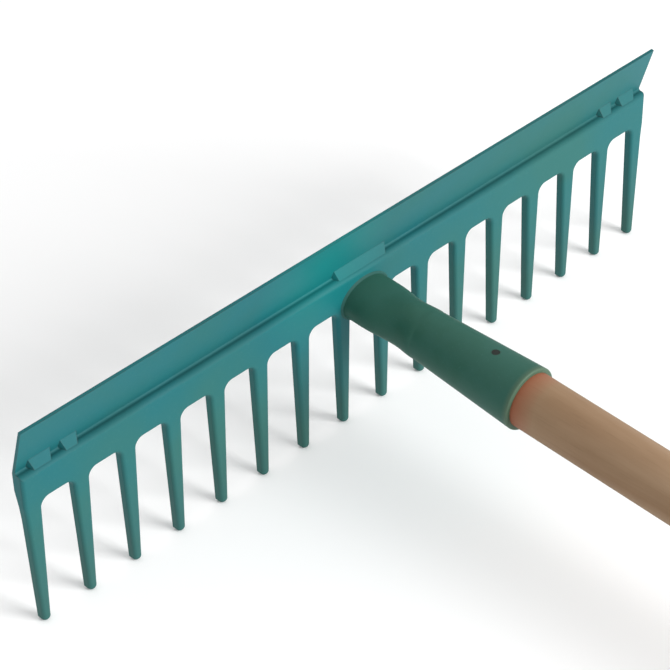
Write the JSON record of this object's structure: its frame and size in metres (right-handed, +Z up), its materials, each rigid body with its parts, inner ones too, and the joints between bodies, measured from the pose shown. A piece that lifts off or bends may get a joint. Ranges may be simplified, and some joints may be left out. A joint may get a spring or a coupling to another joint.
{
  "type": "garden rake",
  "caption": "Garden rake: pressed steel head with a comb of tapered tines, a levelling flange and a tapered socket that holds a round wooden handle.",
  "frame": {"origin": "on the floor, under the middle of the whole rake as it lies with its tine tips and handle end down", "axes": "+Z up, +X along the head, +Y from the free end of the handle towards the head"},
  "size_m": [0.421, 1.3251, 0.1158],
  "materials": {
    "head_paint": "semi-gloss teal enamel, worn at the edges",
    "socket_paint": "semi-gloss dark green enamel",
    "weld_paint": "painted weld bead",
    "handle_wood": "turned softwood, lightly oiled",
    "nail_steel": "dull steel"
  },
  "bodies": {
    "root": {"rake_head": "head_paint", "handle_socket": "socket_paint", "socket_weld": "weld_paint", "handle": "handle_wood", "socket_nail": "nail_steel"}
  },
  "joints": []
}
